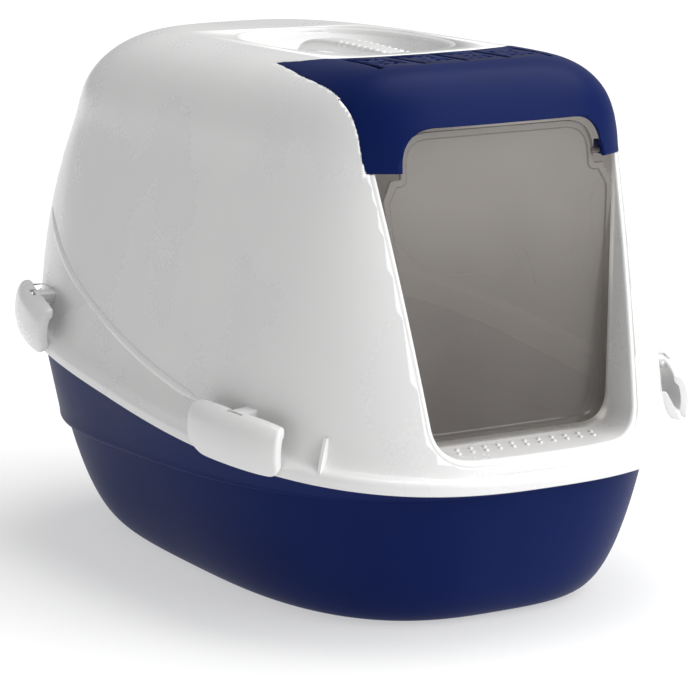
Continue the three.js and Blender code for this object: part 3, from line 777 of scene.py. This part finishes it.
def make_hood():
    skin = skin_levels()
    outer = bmesh.new()
    loft(outer, [points_of(one) for one in flange_levels(skin)])
    bmesh.ops.recalc_face_normals(outer, faces=outer.faces)
    tree = BVHTree.FromBMesh(outer)
    outer.free()

    bm = bmesh.new()
    loft(bm, [points_of(one) for one in hood_chain(skin)])
    hood = finish_mesh("hood_moulding", bm, [white_plastic])
    carve(hood, prism("doorway", door_outline(LIP_ROUND, EAR_BOTTOM + 48), "XZ", -400, -150))
    carve(hood, prism("cover_seat", cover_plan(0.35), "XY", EAR_BOTTOM - 0.35, HOOD_TOP + 60))
    scoop = [Vector((p.x, p.y)) / MM for p in points_of(scoop_level(5, HOOD_TOP), 96)]
    carve(hood, prism("scoop_hole", scoop, "XY", HOOD_TOP - 30, HOOD_TOP + 60))

    extra = bmesh.new()
    scoop_bowl(extra)
    door_frame(extra, tree)
    for_mirror = set(extra.verts)
    bead(extra, tree, BEAD_STOPS, 2.0)
    fresh = [v for v in extra.verts if v not in for_mirror]
    faces = {f for v in fresh for f in v.link_faces}
    mirror_over(extra, fresh + list({e for v in fresh for e in v.link_edges}) + list(faces))
    sill_dimples(extra)
    flange_fins(extra)
    trim = finish_mesh("hood_trim", extra, [white_plastic], 40)
    return hood, trim


FIN_Y = -218.0
BEAD_STOPS = [(206, 246), (184, 236), (152, 222), (111, 206), (49, 187), (-7, 173), (-63, 162), (-96, 156.5)]
white_plastic = moulded_plastic("white_plastic", WHITE, WHITE_WARM, (0.24, 0.32), (700.0, 0.05), 0.25)
hood, trim = make_hood()
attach(hood, "hood")
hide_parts("hood_shell")
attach(trim, "hood")


# ---------------------------------------------------------------- front cover
# The vented front cover: a thin navy moulding that drops into a seat in the
# hood's top and front, with two ears that hold the flap's pins.

COVER_WALL = 2.2
ARCH_RISE = 30.0
ARCH_INSET = 14.0
SLOT_PITCH = 36.0
SLOT_LENGTH = 50.0
SLOT_WIDTH = 4.2
SLOT_MIDDLE = -134.0
HOLE_RADIUS = 1.9
PIN_Y = -199.0
PIN_Z = 332.0
SOCKET_BLOCK = (0.0044, 0.010, 0.010, 1)


def arch_outline():
    low = EAR_BOTTOM - 60
    top = EAR_BOTTOM + ARCH_RISE
    narrow = door_half_width(EAR_BOTTOM) - ARCH_INSET - 4
    return rounded([(narrow + 6, low), (narrow, top), (-narrow, top), (-narrow - 6, low)], [0, 27, 27, 0], 14)


def vent_cutter():
    """Five long slots with three staggered rows of small holes between them."""
    bm = bmesh.new()
    for i in range(5):
        x = (i - 2) * SLOT_PITCH
        half = SLOT_LENGTH / 2 - SLOT_WIDTH / 2
        ring = []
        for end in (1, -1):
            for k in range(7):
                a = pi * k / 6
                y = SLOT_MIDDLE + end * (half + SLOT_WIDTH / 2 * sin(a))
                ring.append((x + end * SLOT_WIDTH / 2 * cos(a), y))
        loft(bm, [[Vector((*p, z)) * MM for p in ring] for z in (HOOD_TOP - 20, HOOD_TOP + 20)])
    for i in range(4):
        for dx, dy in ((-8, -13), (0, -13), (8, -13), (-4, 0), (4, 0), (-8, 13), (0, 13), (8, 13)):
            x = (i - 1.5) * SLOT_PITCH + dx
            ring = [(x + HOLE_RADIUS * cos(pi * k / 5), SLOT_MIDDLE + dy + HOLE_RADIUS * sin(pi * k / 5))
                    for k in range(10)]
            loft(bm, [[Vector((*p, z)) * MM for p in ring] for z in (HOOD_TOP - 20, HOOD_TOP + 20)])
    return finish_mesh("vents", bm, [])


def make_cover():
    skin = skin_levels()[WALL_LEVELS - 8:]
    inside = sunk(skin, COVER_WALL)
    bm = bmesh.new()
    loft(bm, [points_of(one) for one in inside[::-1] + skin])
    cover = finish_mesh("cover_moulding", bm, [navy_plastic])
    carve(cover, prism("plan", cover_plan(0), "XY", EAR_BOTTOM, HOOD_TOP + 60), "INTERSECT")
    carve(cover, prism("arch", arch_outline(), "XZ", -400, -149))
    carve(cover, vent_cutter())
    ears = bmesh.new()
    inner = door_half_width(EAR_BOTTOM) - ARCH_INSET
    for side in (-1, 1):
        block = bmesh.ops.create_cube(ears, size=1)["verts"]
        middle = Vector((side * (inner + 2.0), PIN_Y + 1.5, PIN_Z + 2.0)) * MM
        place = Matrix.Translation(middle) @ Matrix.Diagonal(SOCKET_BLOCK)
        bmesh.ops.transform(ears, verts=block, matrix=place)
    bmesh.ops.bevel(ears, geom=ears.edges[:], offset=0.0008, segments=2, profile=0.5,
                    affect="EDGES", material=-1)
    sockets = finish_mesh("cover_sockets", ears, [navy_plastic])
    return cover, sockets


cover, sockets = make_cover()
for piece in (cover, sockets):
    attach(piece, "hood")
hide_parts("front_cover")


# ---------------------------------------------------------------- carry handle
# The carry handle: a ribbed white bar that bridges the scoop from the front
# of its rim to a knuckle in its floor.

HANDLE_STEPS = 60


def make_handle():
    stops = [(64, 356), (65, 366), (63, 374), (56, 380.5), (41, 384.5), (18, 386.6), (-9, 387.5),
             (-50, 387.2), (-70, 385), (-80, 382.5)]
    rings = []
    line = []
    for k in range(HANDLE_STEPS + 1):
        t = k / HANDLE_STEPS * (len(stops) - 1)
        i = min(int(t), len(stops) - 2)
        u = t - i
        p = [Vector(stops[max(0, min(len(stops) - 1, i + j))]) for j in (-1, 0, 1, 2)]
        line.append(0.5 * (2 * p[1] + (p[2] - p[0]) * u + (2 * p[0] - 5 * p[1] + 4 * p[2] - p[3]) * u * u
                           + (3 * p[1] - p[0] - 3 * p[2] + p[3]) * u ** 3))
    corners = rounded([(-9.8, -4.8), (9.8, -4.8), (9.8, 4.8), (-9.8, 4.8)], [4, 4, 4, 4], 5)
    for i, (y, z) in enumerate(line):
        along = (line[min(i + 1, HANDLE_STEPS)] - line[max(i - 1, 0)]).normalized()
        rings.append([Vector((x, y + along.y * up, z - along.x * up)) * MM for x, up in corners])
    bm = bmesh.new()
    loft(bm, rings)
    for k in range(9):
        y = 2 - k * 8.5
        for side in (-1, 1):
            made = bmesh.ops.create_uvsphere(bm, u_segments=12, v_segments=8, radius=1)["verts"]
            spot = Matrix.Translation(Vector((side * 7.6, y, 390.4 - 0.012 * abs(y + 20))) * MM)
            bmesh.ops.transform(bm, verts=made, matrix=spot @ Matrix.Diagonal((0.0030, 0.0026, 0.0022, 1)))
    return finish_mesh("handle_bar", bm, [white_plastic], 40)


handle = make_handle()
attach(handle, "hood")
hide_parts("carry_handle")


# ---------------------------------------------------------------- filter
# Under the cover a white slatted holder, held by two hooks, carries a pad of
# black felt filled with activated carbon.

holder = frame["nodes"]["filter_holder"]
holder.data.materials.clear()
holder.data.materials.append(white_plastic)

FELT = (0.012, 0.012, 0.013)
FELT_PALE = (0.045, 0.045, 0.048)


def felt_material():
    material, shader, shade = new_material("carbon_felt")
    fibre = shade.noise(1400.0, 4.0)
    clump = shade.noise(160.0, 3.0)
    plug(shader, "Base Color", shade.between(fibre * 0.6 + clump * 0.4, FELT, FELT_PALE))
    plug(shader, "Roughness", 0.85 + 0.12 * fibre)
    plug(shader, "Normal", shade.node(
        "ShaderNodeBump", {}, {"Strength": 0.7, "Distance": 0.0006, "Height": fibre + 0.8 * clump},
    ))
    return material


def make_filter():
    low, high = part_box("carbon_filter")
    size = high - low
    bm = bmesh.new()
    bmesh.ops.create_cube(bm, size=1)
    bmesh.ops.subdivide_edges(bm, edges=bm.edges[:], cuts=11, use_grid_fill=True)
    for vert in bm.verts:
        x, y, z = vert.co * 2
        crown = (1 - x ** 8) * (1 - y ** 8)
        edge = 1 - 0.35 * (abs(z) ** 3)
        pinch = 1 - 0.02 * (abs(z) ** 2)
        waves = 0.98 + 0.02 * sin(9 * x) * sin(5 * y)
        height = z * 0.5 * size.z * (0.72 + 0.26 * crown) * waves * (edge + 0.35)
        vert.co = Vector((x * pinch * 0.5 * size.x, y * pinch * 0.5 * size.y, height))
        vert.co.z = max(-size.z / 2, min(size.z / 2, vert.co.z)) * 0.98
    bmesh.ops.translate(bm, verts=bm.verts, vec=(low + high) / 2)
    return finish_mesh("filter_pad", bm, [felt_material()], 50)


pad = make_filter()
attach(pad, "hood")
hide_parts("carbon_filter")


# ---------------------------------------------------------------- flap
# The door flap: a smoked see-through plastic panel that hangs from two stub
# pins, with a rolled border and two shoulders under the cover's ears.

FLAP_LEAN = radians(7)
FLAP_THICKNESS = 2.4
PIN_ROOT = 0.0025
PIN_TIP = 0.0023
PIN_LENGTH = 0.010
# The flap's colour in painted shade at its foot and in painted light at its top, with a slow haze of random
# tone mixed in.
SMOKE_SHADED = (0.095, 0.082, 0.074)
SMOKE_LIT = (0.235, 0.215, 0.195)


def smoked_material():
    material, shader, shade = new_material("smoked_flap")
    haze = shade.noise(7.0, 2.0).spread(0.3, 0.7)
    place = shade.node("ShaderNodeTexCoord", {}, {}, "Object")
    height = shade.node("ShaderNodeSeparateXYZ", {}, {"Vector": place}, "Z")
    # Painted light: the panel is painted lighter towards its top and darker towards its foot, as if lit from
    # above.
    painted_top_light = height.spread(0.14, 0.36)
    plug(shader, "Base Color", shade.between(painted_top_light * 0.8 + haze * 0.2, SMOKE_SHADED, SMOKE_LIT))
    plug(shader, "Roughness", 0.10 + 0.10 * shade.noise(30.0, 2.0))
    plug(shader, "Alpha", 0.66 + 0.06 * haze)
    plug(shader, "Normal", shade.node(
        "ShaderNodeBump", {}, {"Strength": 0.12, "Distance": 0.001, "Height": shade.noise(14.0, 1.0)},
    ))
    shader.inputs["Specular IOR Level"].default_value = 0.55
    return material


def make_flap():
    inner = door_half_width(EAR_BOTTOM) - ARCH_INSET
    tab = inner - 5
    top = EAR_BOTTOM + ARCH_RISE - 5 + 1 - PIN_Z
    neck = -8.5
    low = SILL + 3 - PIN_Z
    corner = neck - 14
    wide = door_half_width(PIN_Z + corner) - 2
    foot = door_half_width(PIN_Z + low) - 2
    half = FLAP_THICKNESS / 2

    def drawn_in(by, depth):
        right = [(foot - by, low + by), (wide - by, corner - by * 0.5), (inner + 3.5 - by, neck - by),
                 (tab - by, neck - by), (tab - by, top - by)]
        left = [(-x, z) for x, z in reversed(right)]
        radii = [24 - by, max(0.4, 5 - by), max(0.4, 3 - by), 1.0 + by, 24 - by]
        return [Vector((p.x, depth, p.y)) * MM for p in rounded(right + left, radii + radii[::-1], 10)]

    steps = [(5.6, half - 0.9), (4.6, half), (0.5, half), (0.0, half - 0.5)]
    rings = [drawn_in(by, depth) for by, depth in steps]
    rings += [drawn_in(by, -depth) for by, depth in steps[::-1]]
    bm = bmesh.new()
    loft(bm, rings)
    bmesh.ops.recalc_face_normals(bm, faces=bm.faces)
    for side in (-1, 1):
        made = bmesh.ops.create_cone(bm, cap_ends=True, segments=20, radius1=PIN_ROOT, radius2=PIN_TIP,
                                     depth=PIN_LENGTH)["verts"]
        turn = Matrix.Rotation(side * pi / 2, 4, "Y")
        bmesh.ops.transform(bm, verts=made, matrix=Matrix.Translation((side * (tab + 3) * MM, 0, 0)) @ turn)
    lean = Matrix.Translation(Vector((0, PIN_Y, PIN_Z)) * MM) @ Matrix.Rotation(-FLAP_LEAN, 4, "X")
    bmesh.ops.transform(bm, verts=bm.verts, matrix=lean)
    return finish_mesh("flap_panel", bm, [smoked_material()], 28)


flap = make_flap()
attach(flap, "flap")
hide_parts("flap_door")


# ---------------------------------------------------------------- clips
# Four white clips: each a bowed plate with turned-in ends that swings on a
# rod in the hood's lug and hooks down over the flange.

CLIP_LENGTH = 84.0
CLIP_WALL = 2.6
CLIP_CHEEK = 4.6
CLIP_SOFT = 2.6
CLIP_RUN = 46.0
CLIP_CORNERS = {"front": (2.5, 7.0), "rear": (12.0, 20.0)}
CLIP_PLACES = {"front": -155.0, "rear": 152.0}
# Blocks are along the rod, across it and upright, in metres.
NOTCH_BLOCK = (0.0152, 0.0130, 0.016, 1)
LUG_BLOCK = (0.0118, 0.0205, 0.0074, 1)
LUG_BEHIND_PIN = 0.0062
CLIP_JOINTS = {"clip_a": ("front", "right"), "clip_b": ("front", "left"),
               "clip_c": ("rear", "right"), "clip_d": ("rear", "left")}


def bow_of(share):
    """The clip's section from its top edge to its foot, as how far out and how far up."""
    stops = [(-5, 37), (-2.5, 37), (0.2, 36.6), (2.8, 35.3), (5.0, 33.0), (6.8, 29.8), (8.1, 25.6),
             (8.9, 20.5), (9.3, 15.4), (9.1, 11), (8.4, 6.8), (7.6, 3.4), (6.7, 0)]
    t = share * (len(stops) - 1)
    i = min(int(t), len(stops) - 2)
    u = t - i
    return mix(stops[i][0], stops[i + 1][0], u), mix(stops[i][1], stops[i + 1][1], u)


def clip_section(point, out, low, high, sink, back):
    """A closed section of the plate: down its outer curve, then back up the inner one."""
    steps = 24
    curve = [Vector(bow_of(mix(low, high, k / steps))) for k in range(steps + 1)]
    outer, inner = [], []
    for k, here in enumerate(curve):
        run = (curve[min(k + 1, steps)] - curve[max(k - 1, 0)]).normalized()
        inward = Vector((run.y, -run.x))
        outer.append(here + inward * sink)
        inner.append(here + inward * max(back, sink + 1.2))
    height = RIM_HEIGHT + RIM_SLOPE * point.y
    return [
        Vector((point.x + out.x * p.x, point.y + out.y * p.x, height + p.y)) * MM
        for p in outer + inner[::-1]
    ]


def corner_cut(from_end, radius):
    """How much a rounded corner takes off the plate's height, that far from its end."""
    if from_end >= radius:
        return 0.0
    return radius - sqrt(radius ** 2 - (radius - from_end) ** 2)


def make_clip(name, place, side):
    half = CLIP_LENGTH / 2
    from_ends = [0.0, 0.35, 0.9, 1.7, 2.6, 2.9, 4.5, 7, 10, 14, 18, 23, 28, 34, 40]
    stations = [(-1, e) for e in from_ends] + [(1, e) for e in from_ends[::-1]]
    rings = []
    for end, e in stations:
        top_radius, foot_radius = CLIP_CORNERS["front" if end < 0 else "rear"]
        low = corner_cut(e, top_radius) / CLIP_RUN
        high = 1 - corner_cut(e, foot_radius) / CLIP_RUN
        point, out, _ = rim_walk(CLIP_PLACES[place], end * (half - e))
        ends_in = 2.5 * (1 - e / half) ** 4
        sink = corner_cut(e, CLIP_SOFT) * 0.8 + ends_in
        back = sink + (CLIP_CHEEK if e < 2.7 else CLIP_WALL)
        rings.append(clip_section(point, out, low, high, sink, back))
    bm = bmesh.new()
    loft(bm, rings)
    if side == "left":
        bmesh.ops.scale(bm, vec=(-1, 1, 1), verts=bm.verts)
    bmesh.ops.recalc_face_normals(bm, faces=bm.faces)
    rims = [e for e in bm.edges if len(e.link_faces) == 2 and e.calc_face_angle(0) > 1.0]
    bmesh.ops.bevel(bm, geom=rims, offset=0.0007, segments=2, profile=0.5, affect="EDGES", material=-1)
    clip = finish_mesh(name, bm, [white_plastic], 35)
    joint = next(j for j in frame["joints"] if j["child"] == body_of[name])
    pin = Vector(joint["pos_m"])
    axis = Vector(joint["axis"]).normalized()
    notch = bmesh.new()
    bmesh.ops.create_cube(notch, size=1)
    flat = Vector((axis.x, axis.y, 0)).normalized()
    across = Vector((-flat.y, flat.x, 0))
    frame_of = Matrix((axis, across, axis.cross(across))).transposed().to_4x4()
    bmesh.ops.transform(notch, verts=notch.verts, matrix=Matrix.Translation(pin) @ frame_of
                        @ Matrix.Diagonal(NOTCH_BLOCK))
    carve(clip, finish_mesh("notch", notch, []))
    clip.data.shade_smooth()
    clip.data.set_sharp_from_angle(angle=radians(35))
    rod = bmesh.new()
    bmesh.ops.create_cone(rod, cap_ends=True, segments=20, radius1=0.002, radius2=0.002, depth=0.024)
    lay = Matrix.Translation(pin) @ frame_of @ Matrix.Rotation(pi / 2, 4, "Y")
    bmesh.ops.transform(rod, verts=rod.verts, matrix=lay)
    bmesh.ops.bevel(rod, geom=[e for e in rod.edges if e.calc_face_angle(0) > 1.2], offset=0.0004, segments=2,
                    profile=0.5, affect="EDGES", material=-1)
    rod_piece = finish_mesh(name + "_rod", rod, [white_plastic])
    lug = bmesh.new()
    bmesh.ops.create_cube(lug, size=1)
    into = -1 if side == "right" else 1
    wayout = across
    if wayout.x * into > 0:
        wayout = -wayout
    behind = Matrix.Translation(pin - wayout * LUG_BEHIND_PIN)
    bmesh.ops.transform(lug, verts=lug.verts, matrix=behind @ frame_of @ Matrix.Diagonal(LUG_BLOCK))
    bmesh.ops.bevel(lug, geom=lug.edges[:], offset=0.001, segments=2, profile=0.5,
                    affect="EDGES", material=-1)
    lug_piece = finish_mesh(name + "_lug", lug, [white_plastic])
    return clip, rod_piece, lug_piece


body_of = {f"clip_{place}_{side}_plate": body for body, (place, side) in CLIP_JOINTS.items()}
for name, body in body_of.items():
    place, side = CLIP_JOINTS[body]
    clip, rod, lug = make_clip(name, place, side)
    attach(clip, body)
    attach(rod, body)
    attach(lug, "hood")
    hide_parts(f"clip_{place}_{side}")
